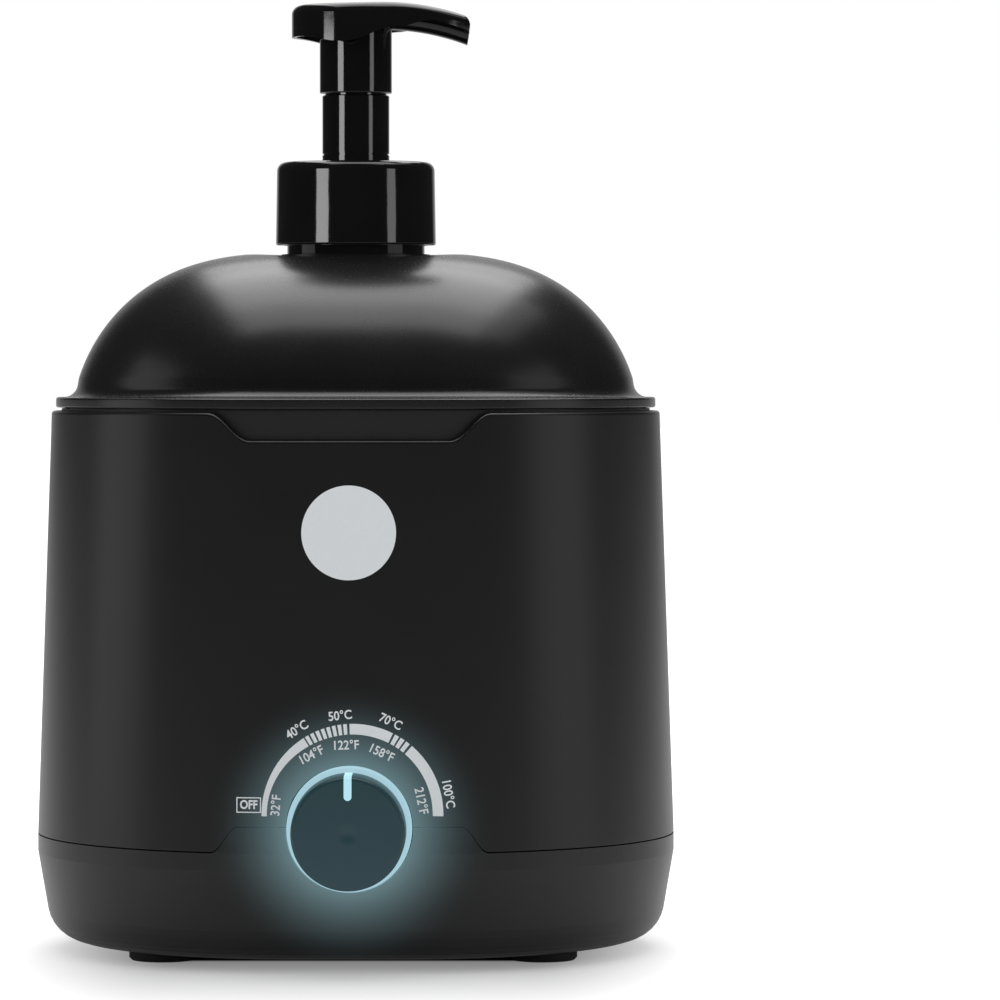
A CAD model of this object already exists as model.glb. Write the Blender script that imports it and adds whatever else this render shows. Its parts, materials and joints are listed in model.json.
import math

import bmesh
import bpy
from mathutils import Matrix, Vector
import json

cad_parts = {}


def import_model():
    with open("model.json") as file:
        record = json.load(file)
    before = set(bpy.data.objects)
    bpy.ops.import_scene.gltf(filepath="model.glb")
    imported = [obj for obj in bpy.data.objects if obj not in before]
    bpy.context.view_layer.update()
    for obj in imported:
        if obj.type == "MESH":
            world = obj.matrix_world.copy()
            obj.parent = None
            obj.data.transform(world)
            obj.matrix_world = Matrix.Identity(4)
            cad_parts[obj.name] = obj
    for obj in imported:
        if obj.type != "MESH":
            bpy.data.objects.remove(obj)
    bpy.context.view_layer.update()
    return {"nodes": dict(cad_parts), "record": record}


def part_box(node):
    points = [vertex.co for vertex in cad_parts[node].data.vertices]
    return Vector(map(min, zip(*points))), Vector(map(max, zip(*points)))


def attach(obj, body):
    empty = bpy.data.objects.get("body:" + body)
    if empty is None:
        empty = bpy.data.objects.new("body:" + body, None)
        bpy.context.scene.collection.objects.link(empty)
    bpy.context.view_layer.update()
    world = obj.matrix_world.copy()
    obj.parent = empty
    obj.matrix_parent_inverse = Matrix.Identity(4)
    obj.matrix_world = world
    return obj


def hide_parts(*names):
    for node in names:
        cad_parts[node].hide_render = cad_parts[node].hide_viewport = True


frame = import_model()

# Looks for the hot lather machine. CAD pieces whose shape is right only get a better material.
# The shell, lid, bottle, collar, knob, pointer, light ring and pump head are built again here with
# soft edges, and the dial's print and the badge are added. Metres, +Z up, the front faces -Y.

mm = 0.001

# ---------- Sizes ----------

# The boxes come from the frame. Most other sizes are the CAD's, but flange_fillet (2.6 mm there),
# spout_reach (34 mm) and tip_lean (8 degrees) were measured again later.

shell_low, shell_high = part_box("body_shell")
lid_low, lid_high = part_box("lid")
_, frame_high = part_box("pot_frame")
collar_low, collar_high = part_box("collar")
bottle_low, bottle_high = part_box("bottle")
head_low, head_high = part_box("pump_head")
knob_low, knob_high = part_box("knob")
_, ring_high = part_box("light_ring")

axis_y = (collar_low.y + collar_high.y) / 2
seam_r = (shell_high.y - shell_low.y) / 2
straight_half = shell_high.x - seam_r
rim_z = shell_high.z
seam_gap = 0.25 * mm
seam_z = shell_low.z - seam_gap
rim_taper = 4.3 * mm
draft = rim_taper / (rim_z - seam_z)
housing_wall = 2.6 * mm

notch_depth = 7.8 * mm
notch_top_half = 40.4 * mm
notch_low_half = 28.4 * mm
tab_h = 7.4 * mm
tab_low_half = 39.3 * mm
tab_top_half = 31.8 * mm

skirt_h = 8.4 * mm
flange_z = lid_low.z + skirt_h
flange_h = 3 * mm
flange_r = 72.8 * mm
flange_fillet = 4.2 * mm
dome_reach = 68 * mm
dome_base_z = flange_z - 1.9 * mm
dome_h = 47.5 * mm
dome_square = 2.8
dome_shoulder = 1.7
neck_hole_r = 20.8 * mm
seat_z = dome_base_z + dome_h - 1.4 * mm
lid_skirt_r = frame_high.y - axis_y - 2.6 * mm

knob_z = (knob_low.z + knob_high.z) / 2
knob_r = 16.05 * mm
knob_front_y = knob_low.y
face_inset = 0.06 * mm
knob_face_y = knob_front_y + face_inset
knob_back_y = knob_high.y
ring_r = 17.75 * mm
ring_out = 1.8 * mm

head_cap_r = 18.9 * mm
spout_half = 5.4 * mm
spout_reach = 34.1 * mm
head_top_z = head_high.z
ridge_x = 8 * mm
bend_r = 78 * mm
bend_z = head_top_z - bend_r
tip_lean = math.radians(8.2)

# The photograph's viewpoint, and the scale of its pixels on the housing's flat front.
camera_x = 42.6 * mm
camera_z = 175 * mm
camera_away = 1.65
view_width = 296 * mm
photo_px = 1000
middle_px = 500
horizon_px = 356
front_scale = 0.2824 * mm

# The glow on the housing round the dial.
halo_reach = 24 * mm
halo_strength = 0.22
halo_colour = (0.5, 0.86, 0.95, 1)

# Brightness of the floor and of the world, as shares of white.
floor_near = 0.21
floor_far = 1.0
floor_glossy = 0.25
room_front = 0.032
room_back = 0.6
room_fill = 0.85

# Height of the panels overhead.
panel_z = 1.25


def shell_r(z):
    """Radius of the shell's round ends at a height."""
    return seam_r - draft * (z - seam_z)


def front_y(x, z):
    """The y of the shell's front surface."""
    beyond = max(abs(x) - straight_half, 0)
    return axis_y - math.sqrt(shell_r(z) ** 2 - beyond ** 2)


# ---------- Mesh helpers ----------

riders = {
    body: [frame["nodes"][name] for name in names]
    for body, names in frame["record"]["behaviour"]["bodies"].items()
}


def add_piece(name, mesh_or_bm, finish, body, replaced=()):
    """Makes an object of a mesh, gives it its material, and lets it ride on a body."""
    mesh = mesh_or_bm
    if isinstance(mesh_or_bm, bmesh.types.BMesh):
        mesh = bpy.data.meshes.new(name)
        mesh_or_bm.to_mesh(mesh)
        mesh_or_bm.free()
    piece = bpy.data.objects.new(name, mesh)
    bpy.context.scene.collection.objects.link(piece)
    mesh.materials.clear()
    mesh.materials.append(finishes[finish])
    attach(piece, body)
    riders[body].append(piece)
    if replaced:
        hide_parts(*replaced)
    return piece


def grid_mesh(rows, close_rows=False, close_columns=True):
    """A quad mesh of rows of points. Each row has as many points as the others."""
    bm = bmesh.new()
    made = [[bm.verts.new(point) for point in row] for row in rows]
    row_pairs = list(zip(made, made[1:]))
    if close_rows:
        row_pairs.append((made[-1], made[0]))
    for low, high in row_pairs:
        count = len(low)
        for i in range(count if close_columns else count - 1):
            j = (i + 1) % count
            bm.faces.new((low[i], low[j], high[j], high[i]))
    bmesh.ops.remove_doubles(bm, verts=bm.verts, dist=1e-7)
    bmesh.ops.recalc_face_normals(bm, faces=bm.faces)
    return bm


def smooth(piece, angle=38, weighted=True):
    """Shades a piece smooth but for its real corners."""
    mesh = piece.data
    mesh.polygons.foreach_set("use_smooth", [True] * len(mesh.polygons))
    mesh.set_sharp_from_angle(angle=math.radians(angle))
    if weighted:
        modifier = piece.modifiers.new("weighted", "WEIGHTED_NORMAL")
        modifier.keep_sharp = True


def rounded(corners, steps=5):
    """Points of an outline whose corners (a, b, radius) are rounded."""
    points = []
    count = len(corners)
    for i, (a, b, radius) in enumerate(corners):
        here = Vector((a, b))
        if radius == 0:
            points.append((a, b))
            continue
        before = (Vector(corners[i - 1][:2]) - here).normalized()
        after = (Vector(corners[(i + 1) % count][:2]) - here).normalized()
        half = before.angle(after) / 2
        reach = radius / math.tan(half)
        centre = here + (before + after).normalized() * (radius / math.sin(half))
        start = here + before * reach - centre
        turn = start.angle_signed(here + after * reach - centre)
        for k in range(steps + 1):
            spot = centre + Matrix.Rotation(-turn * k / steps, 2) @ start
            points.append((spot.x, spot.y))
    return points


def circle(steps):
    """The angles of a full turn in equal steps."""
    return [2 * math.pi * i / steps for i in range(steps)]


def turned(profile, centre, steps=128):
    """A mesh turned round an upright axis. A profile point is (radius, z)."""
    turns = circle(steps)
    rows = [
        [(centre[0] + r * math.cos(t), centre[1] + r * math.sin(t), z) for t in turns]
        for r, z in profile
    ]
    return grid_mesh(rows)


def turned_front(profile):
    """A mesh turned round the knob's axis. A profile point is (radius, y)."""
    turns = circle(128)
    rows = [
        [(r * math.cos(t), y, knob_z + r * math.sin(t)) for t in turns]
        for r, y in profile
    ]
    return grid_mesh(rows)


def oval_columns(end_steps=180, straight_steps=24):
    """(centre x, direction) of each column round the oval, from the front's left corner."""
    half_pi = math.pi / 2
    front = [
        (-straight_half + 2 * straight_half * i / straight_steps, -half_pi)
        for i in range(straight_steps)
    ]
    right = [(straight_half, -half_pi + math.pi * i / end_steps) for i in range(end_steps)]
    back = [(-cx, half_pi) for cx, _ in front]
    left = [(-straight_half, half_pi + math.pi * i / end_steps) for i in range(end_steps)]
    return front + right + back + left


def oval_point(column, radius, z):
    cx, turn = column
    return (cx + radius * math.cos(turn), axis_y + radius * math.sin(turn), z)


def ease(share):
    """0 to 1 with level ends."""
    share = min(max(share, 0), 1)
    return (1 - math.cos(math.pi * share)) / 2


def cut(piece, cutter):
    """Takes the cutter's form out of a piece, and removes the cutter."""
    tool = bpy.data.objects.new("cutter", bpy.data.meshes.new("cutter"))
    cutter.to_mesh(tool.data)
    cutter.free()
    bpy.context.scene.collection.objects.link(tool)
    modifier = piece.modifiers.new("cut", "BOOLEAN")
    modifier.operation = "DIFFERENCE"
    modifier.solver = "EXACT"
    modifier.object = tool
    graph = bpy.context.evaluated_depsgraph_get()
    mesh = bpy.data.meshes.new_from_object(piece.evaluated_get(graph))
    piece.modifiers.clear()
    piece.data = mesh
    bpy.data.objects.remove(tool)


# ---------- Materials ----------

class Nodes:
    """A short way to wire a material's nodes."""

    def __init__(self, name):
        self.material = bpy.data.materials.new(name)
        self.material.use_nodes = True
        self.tree = self.material.node_tree
        self.shader = self.tree.nodes["Principled BSDF"]
        coordinates = self.tree.nodes.new("ShaderNodeTexCoord")
        self.place = coordinates.outputs["Object"]

    def add(self, kind, **inputs):
        node = self.tree.nodes.new(kind)
        for key, value in inputs.items():
            self.feed(node.inputs[key.replace("_", " ")], value)
        return node

    def feed(self, socket, value):
        if isinstance(value, bpy.types.NodeSocket):
            self.tree.links.new(value, socket)
        else:
            socket.default_value = value

    def noise(self, size, detail=2.0, rough=0.5, place=None):
        """Noise whose features are about this many metres wide, from 0 to 1."""
        node = self.add(
            "ShaderNodeTexNoise", Vector=place or self.place, Scale=1 / size,
            Detail=detail, Roughness=rough)
        return node.outputs["Fac"]

    def span(self, value, low, high, from_low=0.0, from_high=1.0):
        node = self.add("ShaderNodeMapRange", Value=value)
        node.inputs["From Min"].default_value = from_low
        node.inputs["From Max"].default_value = from_high
        node.inputs["To Min"].default_value = low
        node.inputs["To Max"].default_value = high
        return node.outputs["Result"]

    def math(self, operation, first, second=0.0):
        node = self.tree.nodes.new("ShaderNodeMath")
        node.operation = operation
        self.feed(node.inputs[0], first)
        self.feed(node.inputs[1], second)
        return node.outputs[0]

    def blend(self, share, first, second):
        """Mixes two colours."""
        node = self.tree.nodes.new("ShaderNodeMix")
        node.data_type = "RGBA"
        self.feed(node.inputs["Factor"], share)
        self.feed(node.inputs["A"], first)
        self.feed(node.inputs["B"], second)
        return node.outputs["Result"]

    def bump(self, height, distance):
        node = self.add("ShaderNodeBump", Height=height, Distance=distance, Strength=1.0)
        return node.outputs["Normal"]

    def set(self, **inputs):
        for key, value in inputs.items():
            self.feed(self.shader.inputs[key.replace("_", " ")], value)
        return self.material


def grey(value):
    return (value, value, value, 1)


def satin(name, dark, light, roughness, grain=0.35 * mm, depth=0.01 * mm):
    """Nodes of moulded plastic with a fine spark-eroded grain and faint cloudiness."""
    n = Nodes(name)
    cloud = n.noise(18 * mm, 3)
    speckle = n.noise(grain, 2, 0.6)
    fine = n.span(speckle, roughness - 0.04, roughness + 0.04)
    n.set(
        Base_Color=n.blend(cloud, dark, light),
        Roughness=n.math("ADD", fine, n.span(cloud, -0.02, 0.02)),
        Normal=n.bump(speckle, depth),
    )
    return n


def satin_plastic(*values):
    return satin(*values).material


def gloss_plastic(name, dark, light, roughness, wave):
    """Polished moulded plastic: slow waves from the mould and fine handling marks."""
    n = Nodes(name)
    slow = n.noise(7 * mm, 1)
    marks = n.noise(1.1 * mm, 3)
    return n.set(
        Base_Color=n.blend(n.noise(12 * mm, 2), dark, light),
        Roughness=n.span(marks, roughness * 0.6, roughness * 1.5),
        Normal=n.bump(slow, wave),
    )


def metal(name, dark, light, roughness, grain=(1, 1, 1)):
    """Metal with drawn or brushed grain. The grain vector stretches the noise."""
    n = Nodes(name)
    stretched = n.tree.nodes.new("ShaderNodeVectorMath")
    stretched.operation = "MULTIPLY"
    n.feed(stretched.inputs[0], n.place)
    stretched.inputs[1].default_value = grain
    lines = n.noise(0.5 * mm, 3, 0.6, stretched.outputs[0])
    stain = n.noise(14 * mm, 3)
    return n.set(
        Base_Color=n.blend(stain, dark, light),
        Metallic=1.0,
        Roughness=n.span(lines, roughness - 0.08, roughness + 0.1),
        Normal=n.bump(lines, 0.004 * mm),
    )


def clear_plastic(name, tint):
    """Thin milky plastic that lets some light through."""
    n = Nodes(name)
    cloud = n.noise(5 * mm, 2)
    return n.set(
        Base_Color=n.blend(cloud, tint, grey(0.9)),
        Roughness=n.span(cloud, 0.12, 0.27),
        Transmission_Weight=0.75,
        Normal=n.bump(n.noise(0.8 * mm, 2), 0.004 * mm),
    )


def glowing(name, base, light, strength):
    """Milky acrylic that glows, a little unevenly."""
    n = Nodes(name)
    cloud = n.noise(9 * mm, 2)
    bright = tuple(min(1, part * 1.06) for part in light)
    n.feed(n.shader.inputs["Emission Strength"], strength)
    return n.set(
        Base_Color=base,
        Roughness=n.span(cloud, 0.2, 0.35),
        Emission_Color=n.blend(cloud, light, bright),
        Normal=n.bump(n.noise(0.6 * mm, 2), 0.004 * mm),
    )


def ink(name, colour):
    """Screen-printed ink, slightly uneven."""
    n = Nodes(name)
    cover = n.noise(0.6 * mm, 3)
    return n.set(
        Base_Color=n.blend(cover, colour, tuple(c * 0.93 for c in colour[:3]) + (1,)),
        Roughness=n.span(cover, 0.4, 0.55),
        Normal=n.bump(cover, 0.004 * mm),
    )


def housing_plastic():
    """The housing's satin black, with a glow on its front that fades away from the light ring."""
    n = satin("housing_black", grey(0.003), grey(0.005), 0.3, depth=0.006 * mm)
    from_dial = n.tree.nodes.new("ShaderNodeVectorMath")
    from_dial.operation = "DISTANCE"
    n.feed(from_dial.inputs[0], n.place)
    from_dial.inputs[1].default_value = (0, front_y(0, knob_z), knob_z)
    away = n.math("SUBTRACT", from_dial.outputs["Value"], ring_r)
    near = n.math("MAXIMUM", n.span(away, 1, 0, 0, halo_reach), 0.0)
    fading = n.math("POWER", near, 2.4)
    return n.set(
        Emission_Color=halo_colour,
        Emission_Strength=n.math("MULTIPLY", fading, halo_strength),
    )


def knob_plastic():
    """Smoked dark plastic with a faint glow of its own, for the lamps behind it."""
    n = Nodes("knob_dark")
    cloud = n.noise(10 * mm, 3)
    up = n.tree.nodes.new("ShaderNodeSeparateXYZ")
    n.feed(up.inputs[0], n.place)
    high = n.span(up.outputs["Z"], 0, 1, knob_z - knob_r, knob_z + knob_r)
    return n.set(
        Base_Color=n.blend(cloud, (0.006, 0.012, 0.014, 1), (0.008, 0.016, 0.018, 1)),
        Roughness=n.span(n.noise(0.4 * mm, 2), 0.3, 0.38),
        Emission_Color=n.blend(high, (0.013, 0.036, 0.046, 1), (0.004, 0.025, 0.03, 1)),
        Emission_Strength=1.0,
        Normal=n.bump(n.noise(0.4 * mm, 2), 0.004 * mm),
    )


finishes = {
    "housing_black": housing_plastic(),
    "lid_black": satin_plastic("lid_black", grey(0.004), grey(0.007), 0.26, 0.6 * mm, 0.003 * mm),
    "frame_black": satin_plastic("frame_black", grey(0.007), grey(0.012), 0.45),
    "foot_rubber": satin_plastic("foot_rubber", grey(0.01), grey(0.016), 0.72, 0.5 * mm, 0.03 * mm),
    "gloss_black": gloss_plastic("gloss_black", grey(0.003), grey(0.006), 0.07, 0.03 * mm),
    "knob_dark": knob_plastic(),
    "ring_clear": glowing("ring_clear", (0.06, 0.09, 0.1, 1), (0.34, 0.54, 0.62, 1), 1.0),
    "pointer_light": glowing("pointer_light", (0.06, 0.09, 0.1, 1), (0.4, 0.68, 0.78, 1), 1.0),
    "lamp_white": glowing("lamp_white", (0.8, 0.9, 0.9, 1), (0.55, 0.92, 1.0, 1), 4),
    "screw_steel": metal("screw_steel", grey(0.42), grey(0.55), 0.35),
    "pot_steel": metal("pot_steel", grey(0.5), grey(0.6), 0.28, (1, 1, 0.06)),
    "plate_aluminium": metal("plate_aluminium", grey(0.55), grey(0.68), 0.45),
    "element_sheath": metal("element_sheath", (0.2, 0.18, 0.16, 1), (0.3, 0.28, 0.25, 1), 0.5),
    "sheet_steel": metal("sheet_steel", grey(0.45), grey(0.58), 0.35, (0.08, 1, 1)),
    "bracket_steel": metal("bracket_steel", grey(0.42), grey(0.55), 0.4, (1, 1, 0.1)),
    "nut_brass": metal("nut_brass", (0.62, 0.45, 0.2, 1), (0.7, 0.53, 0.26, 1), 0.3),
    "pin_brass": metal("pin_brass", (0.6, 0.45, 0.22, 1), (0.7, 0.55, 0.3, 1), 0.25),
    "bulb_copper": metal("bulb_copper", (0.6, 0.28, 0.16, 1), (0.72, 0.38, 0.24, 1), 0.32),
    "spring_steel": metal("spring_steel", grey(0.5), grey(0.62), 0.25),
    "porcelain": satin_plastic("porcelain", (0.6, 0.57, 0.5, 1), (0.72, 0.69, 0.62, 1), 0.3),
    "board_green": satin_plastic("board_green", (0.01, 0.09, 0.04, 1), (0.02, 0.12, 0.05, 1), 0.35),
    "pump_clear": clear_plastic("pump_clear", (0.8, 0.83, 0.85, 1)),
    "pump_white": satin_plastic("pump_white", grey(0.7), grey(0.8), 0.35),
    "gasket_soft": satin_plastic("gasket_soft", grey(0.55), grey(0.62), 0.6),
    "print_white": ink("print_white", (0.86, 0.9, 0.92, 1)),
}
for node in frame["nodes"].values():
    for place in node.material_slots:
        place.material = finishes[place.material.name.split(".")[0]]


# ---------- Housing ----------

def dips(x, low_half, top_half):
    """Share of a notch or tab at this x: 1 in its middle, easing to 0 at its ends."""
    return ease((max(low_half, top_half) - abs(x)) / abs(low_half - top_half))


def body_shell():
    """The shell's wall, with a soft rim that follows the notch, and a gap for the base's tab.
    Its hidden screw posts, ribs and bead are in the CAD only."""
    edge_soft = 0.35 * mm
    rim_soft = 1.0 * mm
    ring_gap = 0.3 * mm
    ahead_y = -0.2
    rows = []
    for column in oval_columns():
        cx, turn = column
        rim_x = cx + shell_r(rim_z) * math.cos(turn)
        seam_x = cx + seam_r * math.cos(turn)
        faces_front = math.sin(turn) < 0
        notch = dips(rim_x, notch_low_half, notch_top_half) if faces_front else 0
        tab = dips(seam_x, tab_low_half, tab_top_half) if faces_front else 0
        top = rim_z - notch_depth * notch
        foot = seam_z + seam_gap + tab_h * tab
        section = rounded([
            (shell_r(foot), foot, edge_soft),
            (shell_r(top), top, rim_soft),
            (shell_r(top) - housing_wall, top, edge_soft),
            (shell_r(foot) - housing_wall, foot, 0),
        ])
        rows.append([oval_point(column, r, z) for r, z in section])
    bm = grid_mesh(rows, close_rows=True)
    piece = add_piece("shell", bm, "housing_black", "machine", ["body_shell"])
    hole_r = ring_r + ring_gap
    hole = [(0, ahead_y), (hole_r, ahead_y), (hole_r, axis_y), (0, axis_y)]
    cut(piece, turned_front(hole))
    smooth(piece)


body_shell()


# ---------- Lid ----------

def dome_section(turn):
    """A point of the dome's outline as (radius, z); turn runs from 0 at its top to 90 degrees."""
    return (
        dome_reach * math.sin(turn) ** (2 / dome_square),
        dome_base_z + dome_h * max(math.cos(turn), 0) ** (2 / dome_shoulder),
    )


def dome_z(radius):
    """Height of the dome at this radius of its oval."""
    turn = math.asin(min(radius / dome_reach, 1) ** (dome_square / 2))
    return dome_section(turn)[1]


def soft_least(a, b, width):
    """The lesser of two heights, with a soft change of that width."""
    mix = max(width - abs(a - b), 0) / width
    return min(a, b) - mix * mix * width / 4


def lid():
    """Dome, flange and skirt in one sweep. Round the neck the dome has a soft shallow dish."""
    columns = oval_columns(150, 20)
    inner_r = 36 * mm
    wall = 2.4 * mm
    neck_h = 3 * mm
    first = math.asin((inner_r / dome_reach) ** (dome_square / 2))
    last = math.radians(74)
    outline_steps = 40
    top_steps = 14
    inside_steps = 24
    inside_flatter = 0.92
    dish_r = 24 * mm
    dish_w = 11 * mm
    dish_h = 1.8 * mm
    dish_edge = 0.9 * mm
    lip_w = 1.4 * mm
    lip_soft = 0.4 * mm
    lip_bevel = 0.12 * mm
    lip_top = seat_z + 0.9 * mm

    def dish_z(x, y):
        return seat_z + dish_h * ease((math.hypot(x, y) - dish_r) / dish_w)

    def top_z(x, y):
        beyond = math.hypot(max(abs(x) - straight_half, 0), y)
        return soft_least(dome_z(beyond), dish_z(x, y), dish_edge)

    def outward(column):
        """From the neck's axis to the column's point at inner_r, seen from above."""
        x, y, _ = oval_point(column, inner_r, 0)
        return Vector((x, y - axis_y))

    def top_row(share):
        row = []
        for column in columns:
            far = outward(column)
            near = far.normalized() * (neck_hole_r + lip_w)
            spot = near.lerp(far, share)
            row.append((spot.x, spot.y + axis_y, top_z(spot.x, spot.y)))
        return row

    def ring_row(radius, z):
        spots = [outward(column).normalized() * radius for column in columns]
        return [(spot.x, spot.y + axis_y, z) for spot in spots]

    def oval_row(radius, z):
        return [oval_point(column, radius, z) for column in columns]

    lip = [
        (neck_hole_r, seat_z - neck_h),
        (neck_hole_r, lip_top - lip_soft),
        (neck_hole_r + lip_bevel, lip_top - lip_bevel),
        (neck_hole_r + lip_soft, lip_top),
        (neck_hole_r + lip_w - lip_soft, lip_top),
        (neck_hole_r + lip_w - lip_bevel, lip_top - lip_bevel),
        (neck_hole_r + lip_w, lip_top - lip_soft),
    ]
    steps = range(1, outline_steps + 1)
    outline = [dome_section(first + (last - first) * i / outline_steps) for i in steps]
    foot_r, foot_z = outline[-1]
    flange_top = flange_z + flange_h
    corners = rounded([
        (foot_r, foot_z, 0),
        (foot_r + 0.9 * mm, flange_top, flange_fillet),
        (flange_r, flange_top, 0.7 * mm),
        (flange_r, flange_z, 0.5 * mm),
        (lid_skirt_r, flange_z, 0),
        (lid_skirt_r, flange_z - skirt_h, 0.4 * mm),
        (lid_skirt_r - 2 * mm, flange_z - skirt_h, 0.4 * mm),
        (dome_reach - wall, dome_base_z, 0),
        (neck_hole_r, dome_base_z + dome_h, 0),
    ], 6)
    rows = [ring_row(r, z) for r, z in lip]
    rows += [top_row(i / top_steps) for i in range(top_steps + 1)]
    rows += [oval_row(r, z) for r, z in outline]
    rows += [oval_row(r, z) for r, z in corners[1:-1]]
    scale = (dome_reach - wall) / dome_reach
    for i in range(inside_steps + 1):
        r, z = dome_section(math.radians(88 - 60 * i / inside_steps))
        rows.append(oval_row(r * scale, dome_base_z + (z - dome_base_z) * inside_flatter))
    rows += [[(x, y, seat_z - neck_h) for x, y, _ in top_row(share)] for share in (0.5, 0.0)]
    bm = grid_mesh(rows, close_rows=True)
    piece = add_piece("lid_form", bm, "lid_black", "lid", ["lid"])
    vent_x = 38 * mm
    vent_r = 1.4 * mm
    above = lid_high.z + 20 * mm
    hole = [(0, flange_z), (vent_r, flange_z), (vent_r, above), (0, above)]
    cut(piece, turned(hole, (vent_x, axis_y), 32))
    smooth(piece)


lid()


# ---------- Bottle and collar ----------

def bottle():
    """The bottle's outside and inside, turned, with a soft shoulder."""
    low, high = bottle_low.z, bottle_high.z
    radius = bottle_high.x
    neck = 20.3 * mm
    neck_wall = 1.7 * mm
    wall = 1.2 * mm
    lip = 0.4 * mm
    dent = 1.5 * mm
    side_top = low + 88 * mm
    shoulder_top = seat_z - 15 * mm
    outer = rounded([
        (0, low + dent, 0),
        (radius - 11 * mm, low + dent, 2 * mm),
        (radius - 9 * mm, low, 1 * mm),
        (radius, low, 4 * mm),
        (radius, side_top, 0),
    ], 6)
    shoulder = [
        (neck + (radius - neck) * math.cos(t), side_top + (shoulder_top - side_top) * math.sin(t))
        for t in [math.radians(90 * i / 24) for i in range(1, 25)]
    ]
    top = [(neck, high - lip), (neck - lip, high), (neck - neck_wall, high)]
    inside = [(r - (wall if r > neck else neck_wall), z - lip) for r, z in reversed(shoulder)]
    floor_z = low + wall + dent
    bottom = [(radius - wall, low + 5 * mm), (radius - 5 * mm, floor_z), (0, floor_z)]
    bm = turned(outer + shoulder + top + inside + bottom, (0, axis_y))
    smooth(add_piece("bottle_form", bm, "gloss_black", "lid", ["bottle"]))


def collar():
    """The screw collar, with a soft upper edge and a fine lower one."""
    low, high = collar_low.z, collar_high.z
    radius = collar_high.x
    hole = 10.2 * mm
    bore = 21.2 * mm
    top_h = 1.3 * mm
    section = rounded([
        (bore, low, 0.2 * mm),
        (radius, low, 0.5 * mm),
        (radius - 0.4 * mm, high, 2.6 * mm),
        (hole, high, 0.4 * mm),
        (hole, high - top_h, 0),
        (bore, high - top_h, 0),
    ], 8)
    bm = turned(section + section[:1], (0, axis_y), 160)
    smooth(add_piece("collar_form", bm, "gloss_black", "collar", ["collar"]))


bottle()
collar()


# ---------- Pump head ----------

def head_outline(inset=0.0, steps=64):
    """Plan of the head, anticlockwise: a round cap that narrows along tangents to the tip."""
    cap_r = head_cap_r - inset
    tip_r = spout_half - inset
    tip_x = spout_reach + 2 * mm
    lean = math.acos((head_cap_r - spout_half) / tip_x)
    cap = [lean + (2 * math.pi - 2 * lean) * i / steps for i in range(steps + 1)]
    points = [(cap_r * math.cos(t), cap_r * math.sin(t)) for t in cap]
    side_low = Vector(points[-1])
    end = Vector((tip_x + tip_r * math.cos(lean), -tip_r * math.sin(lean)))
    tip = spout_reach - inset
    cross = side_low.lerp(end, (tip - side_low.x) / (end.x - side_low.x))
    straight = [tuple(side_low.lerp(cross, i / 24)) for i in range(1, 25)]
    across = [(tip, cross.y + 2 * abs(cross.y) * i / 12) for i in range(1, 12)]
    back = [(x, -y) for x, y in reversed(straight)]
    return points + straight + across + back


def head_ridge(x):
    """Height of the head's top along its middle: falling a little to the back, an arc in front."""
    if x > ridge_x:
        return bend_z + math.sqrt(bend_r ** 2 - (x - ridge_x) ** 2)
    return head_top_z - 0.6 * mm * ((ridge_x - x) / (26 * mm)) ** 1.3


def head_under(x):
    """Height of the walls' lower edge: lowest under the cap, then level with the spout's arc."""
    belly = 2.2 * mm * ease(1 - abs(x + 3.5 * mm) / (14 * mm))
    front = 2.1 * mm * ease(x / (13.5 * mm)) + 3.5 * mm * ease((x - 12 * mm) / (12 * mm))
    return head_ridge(x) - 9.7 * mm - belly + front


def head_crown(x, y):
    """How far the top falls away from its ridge at the sides and the back."""
    return 0.9 * mm * (y / head_cap_r) ** 2 + 0.5 * mm * max(-x / head_cap_r, 0) ** 3


def head_spot(x, y, z):
    """A point of the head. Towards the tip the walls lean back under the top."""
    near_tip = ease((x - 26 * mm) / (8 * mm))
    return (x - math.tan(tip_lean) * near_tip * (head_ridge(x) - z), y + axis_y, z)


def head_top_rows(outline):
    """Rings from the wall's lower edge over the soft edge to the middle of the top."""
    edge = 2.4 * mm
    spine = (-4 * mm, 31 * mm)
    rows = [[head_spot(x, y, head_under(x) + up) for x, y in outline] for up in (0, 0.5 * mm)]
    for k in range(11):
        t = math.radians(90 * k / 10)
        ring = head_outline(edge * (1 - math.cos(t)))
        drop = edge * (1 - math.sin(t))
        rows.append([
            head_spot(x, y, head_ridge(x) - head_crown(x, y) - drop) for x, y in ring])
    inner = head_outline(edge)
    for share in (0.85, 0.7, 0.55, 0.4, 0.2, 0.0):
        row = []
        for x, y in inner:
            heart = min(max(x, spine[0]), spine[1])
            px = heart + (x - heart) * share
            py = y * share
            row.append(head_spot(px, py, head_ridge(px) - head_crown(px, py)))
        rows.append(row)
    return rows


def head_hollow_rows(outline):
    """Rings of the hollow under the top, from the wall's lower edge to its middle."""
    hollow = head_outline(1.5 * mm)
    spine = (-4 * mm, 30 * mm)
    rows = [[head_spot(x, y, head_under(x)) for x, y in outline]]
    rows.append([head_spot(x, y, head_under(x) + 0.1 * mm) for x, y in hollow])
    rows.append([
        head_spot(x, y, head_ridge(x) - head_crown(x, y) - 3 * mm) for x, y in hollow])
    for share in (0.5, 0.0):
        row = []
        for x, y in hollow:
            heart = min(max(x, spine[0]), spine[1])
            px = heart + (x - heart) * share
            row.append(head_spot(px, y * share, head_ridge(px) - 2.6 * mm))
        rows.append(row)
    return rows


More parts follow.
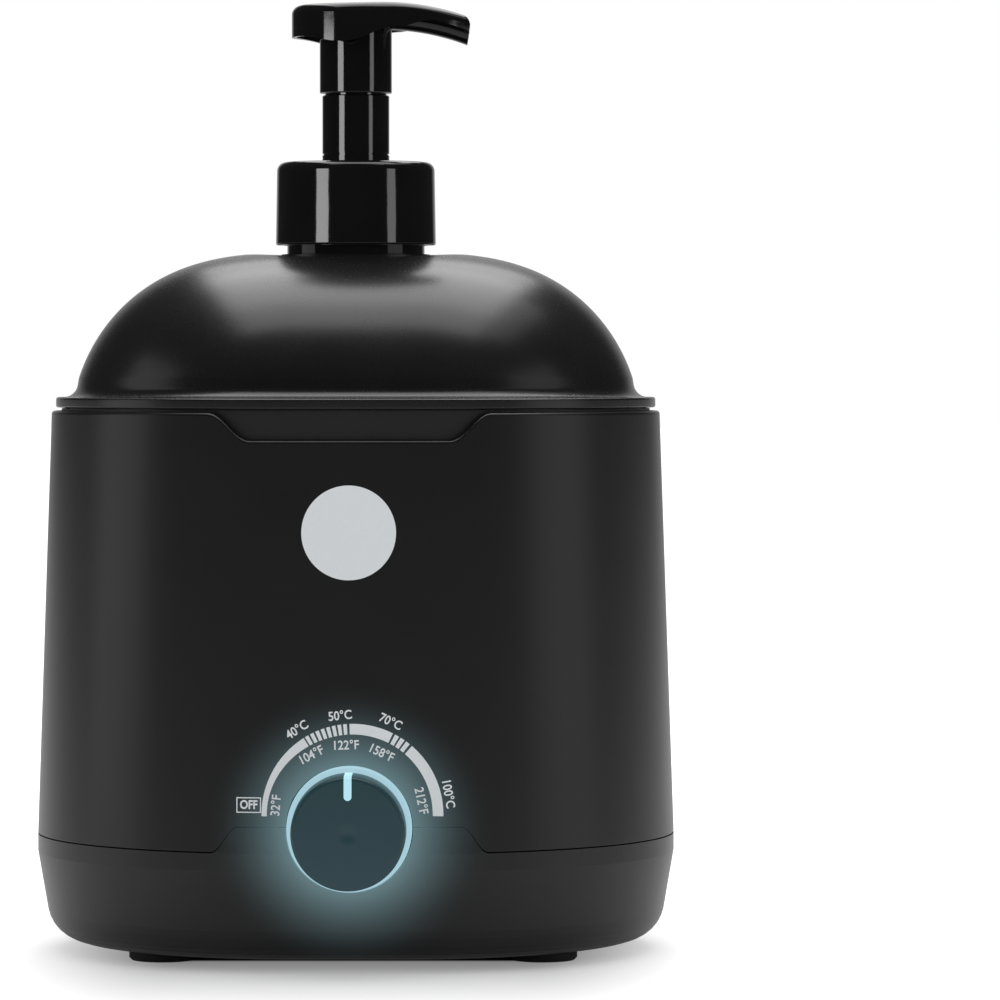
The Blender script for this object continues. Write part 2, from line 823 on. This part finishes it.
def pump_head():
    """The head's shell: its outside and the hollow under it, joined at the walls' lower edge."""
    outline = head_outline()
    bm = grid_mesh(head_top_rows(outline))
    spare = bpy.data.meshes.new("under")
    under = grid_mesh(head_hollow_rows(outline))
    under.to_mesh(spare)
    under.free()
    bm.from_mesh(spare)
    bpy.data.meshes.remove(spare)
    bmesh.ops.remove_doubles(bm, verts=bm.verts, dist=1e-6)
    bmesh.ops.recalc_face_normals(bm, faces=bm.faces)
    piece = add_piece("head_form", bm, "gloss_black", "head", ["pump_head"])
    smooth(piece, 50)


def head_sleeve():
    """The sleeve under the head that slides over the stem."""
    sleeve_r = 10.65 * mm
    bore = 9.15 * mm
    top = head_top_z - 3 * mm
    section = rounded([
        (bore, head_low.z, 0.3 * mm),
        (sleeve_r, head_low.z, 0.3 * mm),
        (sleeve_r, top, 0),
        (bore, top, 0),
    ], 4)
    bm = turned(section + section[:1], (0, axis_y))
    smooth(add_piece("head_sleeve", bm, "gloss_black", "head"))


def foam_tube():
    """The tube that carries the foam, bent under the spout. The tip's plane cuts its end."""
    tube_r = 3.2 * mm
    wall = 0.8 * mm
    arc_r = 73.3 * mm
    first = math.radians(1.5)
    tip_x = spout_reach
    tip_z = head_ridge(tip_x)

    def line(radius, t, backwards):
        """Points of one long line of the tube's outside or bore."""
        across = radius * math.sin(t)
        rho = arc_r + radius * math.cos(t)
        reach = (tip_x - ridge_x) * math.cos(tip_lean) - (tip_z - bend_z) * math.sin(tip_lean)
        last = tip_lean + math.asin(reach / rho)
        turns = [first + (last - first) * i / 28 for i in range(29)]
        points = [
            (ridge_x + rho * math.sin(a), axis_y + across, bend_z + rho * math.cos(a))
            for a in turns
        ]
        return points[::-1] if backwards else points

    rows = [line(tube_r, t, False) + line(tube_r - wall, t, True) for t in circle(40)]
    bm = grid_mesh(rows, close_rows=True)
    smooth(add_piece("foam_tube", bm, "gloss_black", "head"))


pump_head()
head_sleeve()
foam_tube()


# ---------- Knob and light ring ----------

def knob():
    """A closed form with a soft edge and a faint dimple. Its hollow and hub are in the CAD only."""
    dimple_r = 3.3 * mm
    dimple_deep = 0.32 * mm
    edge_soft = 1.1 * mm
    section = rounded([
        (0, knob_back_y, 0),
        (knob_r + 0.2 * mm, knob_back_y, 0.3 * mm),
        (knob_r, knob_face_y, edge_soft),
        (dimple_r, knob_face_y, 0),
    ], 7)
    dimple = [
        (dimple_r * (1 - i / 8), knob_face_y + dimple_deep * ease(i / 8))
        for i in range(1, 9)
    ]
    bm = turned_front(section + dimple)
    piece = add_piece("knob_form", bm, "knob_dark", "knob", ["knob"])
    smooth(piece, 50)


def pointer():
    """The glowing bar in the knob's face and over its edge, with a round inner end."""
    half = 1.1 * mm
    start = knob_z + 9.4 * mm + half
    edge_r = 1.1 * mm
    proud = 0.05 * mm
    thick = 0.3 * mm
    turns = [math.radians(a) for a in range(180, 361, 20)]
    end = [(half * math.cos(t), start + half * math.sin(t)) for t in turns]
    line = [(knob_r - edge_r, knob_front_y)]
    for k in range(1, 8):
        t = math.radians(90 * k / 7)
        out = knob_r + (edge_r + proud) * math.sin(t) - edge_r
        line.append((out, knob_face_y + edge_r - (edge_r + face_inset) * math.cos(t)))
    line.append((knob_r + 0.24 * mm, knob_back_y - 0.3 * mm))
    bm = bmesh.new()
    face = [bm.verts.new((x, knob_front_y, z)) for x, z in end]
    bm.faces.new(face)
    left, right = [face[0]], [face[-1]]
    for out, y in line:
        left.append(bm.verts.new((-half, y, knob_z + out)))
        right.append(bm.verts.new((half, y, knob_z + out)))
    for i in range(len(left) - 1):
        bm.faces.new((left[i], right[i], right[i + 1], left[i + 1]))
    bmesh.ops.recalc_face_normals(bm, faces=bm.faces)
    if sum(face.normal.y for face in bm.faces) > 0:
        bmesh.ops.reverse_faces(bm, faces=bm.faces)
    bmesh.ops.solidify(bm, geom=bm.faces[:], thickness=thick)
    piece = add_piece("pointer_form", bm, "pointer_light", "knob", ["knob_pointer"])
    smooth(piece)


def light_ring():
    """The milky ring round the knob, with a soft front edge, without the CAD's hidden flange."""
    front = front_y(0, knob_z) - ring_out
    back = ring_high.y
    bore = 13.4 * mm
    section = rounded([
        (bore, front, 0.3 * mm),
        (bore, back, 0),
        (ring_r, back, 0),
        (ring_r, front, 0.5 * mm),
    ], 5)
    bm = turned_front(section + section[:1])
    smooth(add_piece("ring_form", bm, "ring_clear", "machine", ["light_ring"]))


knob()
pointer()
light_ring()


# ---------- Dial print ----------

def on_front(x, z):
    """The point of the housing's front at (x, z), a little proud of it."""
    ink_proud = 0.03 * mm
    return (x, front_y(x, z) - ink_proud, z)


def print_piece(name, bm):
    """Lays flat print on the housing's front."""
    for vert in bm.verts:
        vert.co = on_front(vert.co.x, vert.co.z)
    bmesh.ops.recalc_face_normals(bm, faces=bm.faces)
    return add_piece(name, bm, "print_white", "machine")


def letters(name, text, x, z, turn, size, narrow, bold):
    """A word printed on the front, centred at (x, z) and turned anticlockwise."""
    curve = bpy.data.curves.new(name, "FONT")
    curve.body = text
    curve.size = size
    curve.align_x = "CENTER"
    curve.align_y = "CENTER"
    curve.offset = bold
    curve.resolution_u = 4
    drawn = bpy.data.objects.new(name + "_curve", curve)
    bpy.context.scene.collection.objects.link(drawn)
    bpy.context.view_layer.update()
    mesh = drawn.to_mesh()
    bm = bmesh.new()
    bm.from_mesh(mesh)
    drawn.to_mesh_clear()
    bpy.data.objects.remove(drawn)
    turning = Matrix.Rotation(math.radians(turn), 2)
    for vert in bm.verts:
        flat = turning @ Vector((vert.co.x * narrow, vert.co.y))
        vert.co = (x + flat.x, 0, z + flat.y)
    print_piece(name, bm)


def from_pixel(px, py):
    """(x, z) on the flat front of the point that the photograph shows at this pixel."""
    x = camera_x + (px - middle_px) * front_scale
    z = camera_z - (py - horizon_px) * front_scale
    return x, z


def arc_band(name, centre, inner, outer, start, end):
    """A piece of the dial's band: start and end are degrees from the upright, clockwise."""
    steps = max(2, int(abs(end - start) / 1.5))
    bm = bmesh.new()
    pairs = []
    for i in range(steps + 1):
        share = i / steps
        t = math.radians(start + (end - start) * share)
        inside = inner(math.degrees(t))
        pairs.append([
            bm.verts.new((centre[0] + r * math.sin(t), 0, centre[1] + r * math.cos(t)))
            for r in (inside, outer)
        ])
    for (a, b), (c, d) in zip(pairs, pairs[1:]):
        bm.faces.new((a, b, d, c))
    print_piece(name, bm)


def dial_print():
    centre = (0.9 * mm, 45.4 * mm)
    outer = 25.7 * mm
    start_w = 1.5 * mm
    number_size, number_narrow, number_bold = 3.6 * mm, 0.9, 0.06 * mm
    off_size, off_narrow, off_bold = 3.4 * mm, 0.84, 0.1 * mm

    def inner(turn):
        """The band widens from its start at the left to the top."""
        share = ease((turn + 90) / 80)
        return outer - start_w * (1 + share)

    def ticks(first, pitch, width, count):
        """Start and end of each of a row of short pieces."""
        return [(first + pitch * i, first + pitch * i + width) for i in range(count)]

    bands = [
        (-91, -32.5), *ticks(-31.5, 3.65, 2.4, 8),
        (-1.9, 26.5), *ticks(28, 4.1, 2.9, 3),
        (40.8, 91),
    ]
    for i, (start, end) in enumerate(bands):
        arc_band(f"dial_band_{i}", centre, inner, outer, start, end)
    numbers = [
        ("40°C", 297, 730, 33), ("50°C", 340, 716, 6), ("70°C", 390.5, 722, -25),
        ("100°C", 448, 794, -80), ("104°F", 311, 755.5, 28), ("122°F", 345.5, 745.6, 2),
        ("158°F", 381, 753, -25), ("212°F", 421, 801, -78), ("32°F", 276, 805.6, 85),
    ]
    for i, (text, px, py, turn) in enumerate(numbers):
        x, z = from_pixel(px, py)
        letters(f"dial_number_{i}", text, x, z, turn, number_size, number_narrow, number_bold)
    x, z = from_pixel(248.4, 805.4)
    letters("dial_off", "OFF", x, z, 0, off_size, off_narrow, off_bold)
    off_frame(x, z)


def off_frame(x, z):
    """The thin box round OFF."""
    half_w, half_h, line = 3.5 * mm, 2.2 * mm, 0.3 * mm
    bm = bmesh.new()
    corners = [(-1, -1), (1, -1), (1, 1), (-1, 1)]
    outside = [bm.verts.new((x + a * half_w, 0, z + b * half_h)) for a, b in corners]
    in_w, in_h = half_w - line, half_h - line
    inside = [bm.verts.new((x + a * in_w, 0, z + b * in_h)) for a, b in corners]
    for i in range(4):
        j = (i + 1) % 4
        bm.faces.new((outside[i], outside[j], inside[j], inside[i]))
    bmesh.ops.subdivide_edges(bm, edges=bm.edges[:], cuts=3, use_grid_fill=True)
    print_piece("dial_off_box", bm)


def badge():
    """A bare white disc on the front."""
    x, z = from_pixel(348.5, 533)
    radius = 13.4 * mm
    ring_count = 6
    sides = 72
    bm = bmesh.new()
    heart = bm.verts.new((x, 0, z))
    rings = []
    for k in range(1, ring_count + 1):
        r = radius * k / ring_count
        rings.append([
            bm.verts.new((x + r * math.cos(t), 0, z + r * math.sin(t)))
            for t in circle(sides)
        ])
    for i in range(sides):
        j = (i + 1) % sides
        bm.faces.new((heart, rings[0][i], rings[0][j]))
        for low, high in zip(rings, rings[1:]):
            bm.faces.new((low[i], high[i], high[j], low[j]))
    smooth(print_piece("badge", bm), weighted=False)


dial_print()
badge()


# ---------- Stage, lights and camera ----------

def stage():
    """A pale floor, shaded near the machine and white further off. White and shade are its own
    light, which the camera sees in full and reflections see dimmed."""
    size = 12.0
    core_half = 50 * mm
    side_falloff = 4.0
    shade_start, shade_end = 40 * mm, 270 * mm
    dark_under, lit_beyond = 39 * mm, 43 * mm
    corners = [(-size, -size, 0), (size, -size, 0), (size, size, 0), (-size, size, 0)]
    mesh = bpy.data.meshes.new("floor")
    mesh.from_pydata(corners, [], [(0, 1, 2, 3)])
    floor = bpy.data.objects.new("floor", mesh)
    bpy.context.scene.collection.objects.link(floor)
    n = Nodes("floor")
    split = n.tree.nodes.new("ShaderNodeSeparateXYZ")
    n.feed(split.inputs[0], n.place)
    across = n.math("SUBTRACT", n.math("ABSOLUTE", split.outputs["X"]), core_half)
    across = n.math("MULTIPLY", n.math("MAXIMUM", across, 0.0), side_falloff)
    along = n.math("ABSOLUTE", n.math("SUBTRACT", split.outputs["Y"], axis_y))
    squares = n.math("ADD", n.math("POWER", across, 2.0), n.math("POWER", along, 2.0))
    away = n.math("SQRT", squares)
    shade = n.span(away, floor_near, floor_far, shade_start, shade_end)
    shade = n.math("MULTIPLY", shade, n.span(away, 0, 1, dark_under, lit_beyond))
    path = n.tree.nodes.new("ShaderNodeLightPath")
    glossy = n.math("MULTIPLY", path.outputs["Is Glossy Ray"], floor_glossy)
    seen = n.math("MAXIMUM", path.outputs["Is Camera Ray"], glossy)
    seen = n.math("MAXIMUM", seen, path.outputs["Is Transmission Ray"])
    n.set(
        Base_Color=grey(0.3),
        Roughness=0.9,
        Specular_IOR_Level=0.0,
        Emission_Color=grey(1),
        Emission_Strength=n.math("MULTIPLY", seen, shade),
    )
    mesh.materials.append(n.material)


def world():
    """White where the camera looks, and a soft even fill. Reflections see a dim room in front
    and a brighter one behind the machine."""
    made = bpy.data.worlds.new("studio")
    bpy.context.scene.world = made
    made.use_nodes = True
    tree = made.node_tree
    ground = tree.nodes["Background"]
    path = tree.nodes.new("ShaderNodeLightPath")
    where = tree.nodes.new("ShaderNodeTexCoord")
    split = tree.nodes.new("ShaderNodeSeparateXYZ")
    tree.links.new(where.outputs["Generated"], split.inputs[0])
    room = tree.nodes.new("ShaderNodeMapRange")
    room.inputs["From Min"].default_value = 0.85
    room.inputs["From Max"].default_value = 0.98
    room.inputs["To Min"].default_value = room_front
    room.inputs["To Max"].default_value = room_back
    tree.links.new(split.outputs["Y"], room.inputs["Value"])
    fill = tree.nodes.new("ShaderNodeMix")
    tree.links.new(path.outputs["Is Diffuse Ray"], fill.inputs["Factor"])
    fill.inputs["A"].default_value = 1.0
    fill.inputs["B"].default_value = room_fill
    seen = tree.nodes.new("ShaderNodeMix")
    tree.links.new(path.outputs["Is Glossy Ray"], seen.inputs["Factor"])
    tree.links.new(fill.outputs["Result"], seen.inputs["A"])
    tree.links.new(room.outputs["Result"], seen.inputs["B"])
    tree.links.new(seen.outputs["Result"], ground.inputs["Strength"])
    ground.inputs["Color"].default_value = grey(1)


def area_lamp(name, width, tall, brightness):
    """A rectangular lamp of this brightness that the camera doesn't see. It faces down."""
    lamp = bpy.data.lights.new(name, "AREA")
    lamp.shape = "RECTANGLE"
    lamp.size = width
    lamp.size_y = tall
    lamp.energy = brightness * math.pi * width * tall
    box = bpy.data.objects.new(name, lamp)
    box.visible_camera = False
    bpy.context.scene.collection.objects.link(box)
    return box


def softbox(name, azimuth, height, distance, width, tall, brightness, aim_z):
    """A lamp at this azimuth from the front, positive to the right, facing the machine."""
    box = area_lamp(name, width, tall, brightness)
    a = math.radians(azimuth)
    box.location = (distance * math.sin(a), axis_y - distance * math.cos(a), height)
    aim = Vector((0, axis_y, aim_z))
    box.rotation_euler = (aim - box.location).to_track_quat("-Z", "Y").to_euler()
    return box


def panel(name, low, high, brightness):
    """A lamp overhead from corner low to corner high."""
    box = area_lamp(name, high[0] - low[0], high[1] - low[1], brightness)
    box.location = ((low[0] + high[0]) / 2, (low[1] + high[1]) / 2, panel_z)


def only_on(box, *bodies):
    """Lets a lamp light only what rides on these bodies."""
    lit = bpy.data.collections.new(box.name + "_lit")
    for body in bodies:
        for piece in riders[body]:
            lit.objects.link(piece)
    box.light_linking.receiver_collection = lit


def lights():
    """Panels overhead, a softbox on each side of the housing, two strips for the pump."""
    panel("top_front", (-0.5, -0.4), (0.6, 0), 2.7)
    panel("top_back", (-0.5, 0), (0.6, 0.5), 4.0)
    panel("top_far", (-0.5, 0.5), (0.6, 1.1), 3.8)
    panel("top_farther", (-0.5, 1.1), (0.6, 2.0), 2.2)
    panel("top_right", (0.6, -0.3), (0.9, 0.7), 0.9)
    # Azimuth, height, distance, width, height of the lamp, brightness, height it aims at.
    housing_boxes = {
        "left": (-86, 0.35, 1.3, 0.7, 1.2, 0.66, 0.15),
        "right": (71, 0.35, 1.3, 0.7, 1.2, 0.58, 0.15),
    }
    pump_strips = {
        "strip_left": (-48, 0.26, 1.5, 0.5, 0.22, 7.0, 0.26),
        "strip_right": (54, 0.26, 1.5, 0.35, 0.22, 2.7, 0.26),
    }
    for name, values in housing_boxes.items():
        only_on(softbox(name, *values), "machine", "lid", "knob")
    for name, values in pump_strips.items():
        only_on(softbox(name, *values), "pump", "collar", "stem", "head")


def camera():
    """The photograph's viewpoint: 1.65 m away, 175 mm up, 42.6 mm to the right of the axis."""
    made = bpy.data.cameras.new("camera")
    made.sensor_width = 36
    made.lens = made.sensor_width * camera_away / view_width
    made.clip_start = 0.05
    eye = bpy.data.objects.new("camera", made)
    bpy.context.scene.collection.objects.link(eye)
    eye.location = (camera_x, axis_y - camera_away, camera_z)
    tilt = math.atan((middle_px - horizon_px) / photo_px * view_width / camera_away)
    eye.rotation_euler = (math.pi / 2 - tilt, 0, 0)
    bpy.context.scene.camera = eye


stage()
world()
lights()
camera()
bpy.context.scene.view_settings.view_transform = "Standard"
